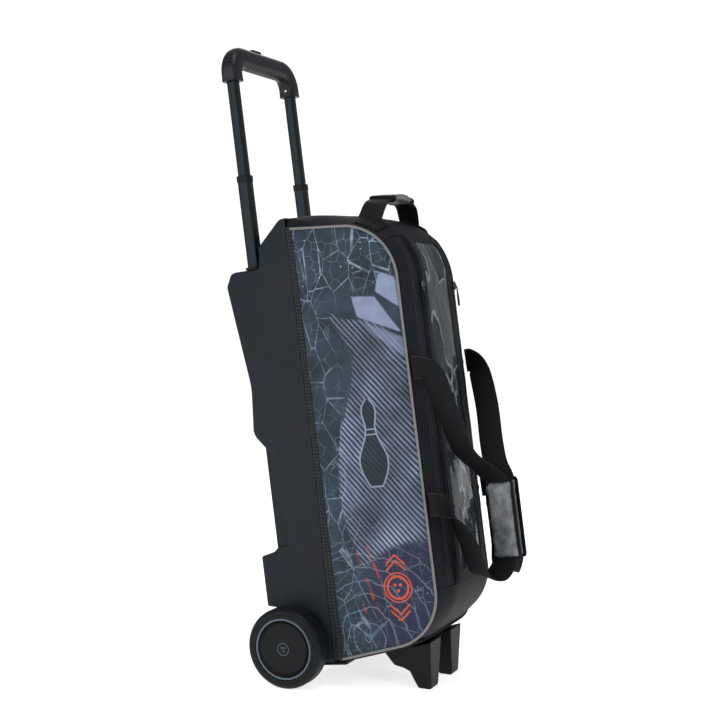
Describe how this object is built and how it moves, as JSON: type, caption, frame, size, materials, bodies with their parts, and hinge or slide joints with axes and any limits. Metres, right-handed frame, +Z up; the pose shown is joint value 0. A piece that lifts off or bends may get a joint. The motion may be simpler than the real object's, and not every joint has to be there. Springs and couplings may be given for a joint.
{
  "type": "bowling ball bag",
  "caption": "Tall wheeled tote for bowling balls in line: hard rear shell with telescoping handle, zipped fabric front lid, carry straps, grab handle, two wheels and front feet.",
  "frame": {"origin": "middle of the footprint box, on the floor", "axes": "+Z up, -Y towards the zipped front, +Y towards the handle, +X across the bag"},
  "size_m": [0.312, 0.482, 1.0189],
  "materials": {
    "shell_plastic": "fine moulded grain, matte charcoal",
    "black_fabric": "woven polyester and webbing, black",
    "printed_fabric": "satin polyester with an all-over print in slate, indigo and lavender",
    "piping": "pale grey piping",
    "clear_vinyl": "glossy clear vinyl over grey cloth",
    "foam": "closed-cell foam, dark grey",
    "black_plastic": "satin black moulding",
    "grey_plastic": "satin mid grey moulding",
    "tyre_rubber": "matte black rubber",
    "tube_metal": "dark gunmetal anodised, satin",
    "steel": "zinc plated steel",
    "silver_cloth": "silver grey coated cloth with a slight shine"
  },
  "bodies": {
    "bag": {"rear_shell": "shell_plastic", "back_board": "black_plastic", "ball_cradle_low": "foam", "ball_cradle_middle": "foam", "ball_cradle_high": "foam", "axle": "steel", "top_panel": "black_fabric", "bottom_panel": "black_fabric", "base_tray": "black_plastic", "handle_bracket": "black_plastic", "axle_block_left": "black_plastic", "side_panel_left": "printed_fabric", "piping_left": "piping", "binding_left": "black_fabric", "outer_tube_left": "tube_metal", "tube_bezel_left": "black_plastic", "foot_left": "black_plastic", "axle_block_right": "black_plastic", "side_panel_right": "printed_fabric", "piping_right": "piping", "binding_right": "black_fabric", "outer_tube_right": "tube_metal", "tube_bezel_right": "black_plastic", "foot_right": "black_plastic"},
    "lid": {"front_lid": "black_fabric", "lid_window": "clear_vinyl"},
    "middle_stage": {"middle_tube_left": "tube_metal", "middle_collar_left": "black_plastic", "middle_tube_right": "tube_metal", "middle_collar_right": "black_plastic"},
    "inner_stage": {"inner_tube_left": "tube_metal", "inner_tube_right": "tube_metal", "grip": "black_plastic"},
    "release": {"push_rod_left": "steel", "push_rod_right": "steel", "release_button": "black_plastic"},
    "grab_handle": {"grab_strap": "black_fabric", "grab_pad": "silver_cloth"},
    "gusset_left": {"gusset_left": "black_fabric", "zip_left": "black_fabric"},
    "zip_slider_left": {"zip_slider_left": "steel"},
    "zip_pull_left": {"zip_pull_left": "black_fabric"},
    "carry_strap_left": {"carry_strap_left": "black_fabric", "strap_pad_left": "silver_cloth"},
    "wheel_left": {"tyre_left": "tyre_rubber", "hub_left": "grey_plastic", "hub_cap_left": "black_plastic"},
    "gusset_right": {"gusset_right": "black_fabric", "zip_right": "black_fabric"},
    "zip_slider_right": {"zip_slider_right": "steel"},
    "zip_pull_right": {"zip_pull_right": "black_fabric"},
    "carry_strap_right": {"carry_strap_right": "black_fabric", "strap_pad_right": "silver_cloth"},
    "wheel_right": {"tyre_right": "tyre_rubber", "hub_right": "grey_plastic", "hub_cap_right": "black_plastic"}
  },
  "joints": [
    {"name": "lid_open", "type": "hinge", "parent": "bag", "child": "lid", "pos_m": [0, -0.15618, 0.17538], "axis": [1, 0, 0], "range_deg": [0, 45]},
    {"name": "gusset_left_spread", "type": "hinge", "parent": "bag", "child": "gusset_left", "pos_m": [-0.1117, -0.1082, 0.39443], "axis": [0, -0.134, -0.991], "range_deg": [0, 72]},
    {"name": "carry_strap_left_swing", "type": "hinge", "parent": "bag", "child": "carry_strap_left", "pos_m": [-0.116, -0.11514, 0.39536], "axis": [0, -0.134, -0.991], "range_deg": [0, 135]},
    {"name": "zip_slider_left_run", "type": "slide", "parent": "gusset_left", "child": "zip_slider_left", "axis": [0, -0.134, -0.991], "range_m": [0, 0.43]},
    {"name": "zip_pull_left_swing", "type": "hinge", "parent": "zip_slider_left", "child": "zip_pull_left", "pos_m": [-0.0668, -0.10248, 0.63079], "axis": [-1, 0, 0], "range_deg": [0, 100]},
    {"name": "gusset_right_spread", "type": "hinge", "parent": "bag", "child": "gusset_right", "pos_m": [0.1117, -0.1082, 0.39443], "axis": [0, 0.134, 0.991], "range_deg": [0, 72]},
    {"name": "carry_strap_right_swing", "type": "hinge", "parent": "bag", "child": "carry_strap_right", "pos_m": [0.116, -0.11514, 0.39536], "axis": [0, 0.134, 0.991], "range_deg": [0, 135]},
    {"name": "zip_slider_right_run", "type": "slide", "parent": "gusset_right", "child": "zip_slider_right", "axis": [0, -0.134, -0.991], "range_m": [0, 0.43]},
    {"name": "zip_pull_right_swing", "type": "hinge", "parent": "zip_slider_right", "child": "zip_pull_right", "pos_m": [0.0668, -0.10248, 0.63079], "axis": [-1, 0, 0], "range_deg": [0, 100]},
    {"name": "grab_handle_tilt", "type": "hinge", "parent": "bag", "child": "grab_handle", "pos_m": [0, -0.00659, 0.74295], "axis": [1, 0, 0], "range_deg": [-10, 10]},
    {"name": "middle_stage_slide", "type": "slide", "parent": "bag", "child": "middle_stage", "axis": [0, -0.134, -0.991], "range_m": [0, 0.137]},
    {"name": "inner_stage_slide", "type": "slide", "parent": "middle_stage", "child": "inner_stage", "axis": [0, -0.134, -0.991], "range_m": [0, 0.152]},
    {"name": "release_press", "type": "slide", "parent": "inner_stage", "child": "release", "axis": [0, -0.134, -0.991], "range_m": [0, 0.003], "stiffness_N_per_m": 700, "springref_m": -0.005},
    {"name": "wheel_left_spin", "type": "hinge", "parent": "bag", "child": "wheel_left", "pos_m": [-0.138, 0.10034, 0.0635], "axis": [1, 0, 0], "continuous": true},
    {"name": "wheel_right_spin", "type": "hinge", "parent": "bag", "child": "wheel_right", "pos_m": [0.138, 0.10034, 0.0635], "axis": [1, 0, 0], "continuous": true}
  ],
  "couplings": [
    {"joint": "gusset_left_spread", "follows": "lid_open", "ratio": 1.6},
    {"joint": "carry_strap_left_swing", "follows": "lid_open", "ratio": 3},
    {"joint": "gusset_right_spread", "follows": "lid_open", "ratio": 1.6},
    {"joint": "carry_strap_right_swing", "follows": "lid_open", "ratio": 3}
  ]
}
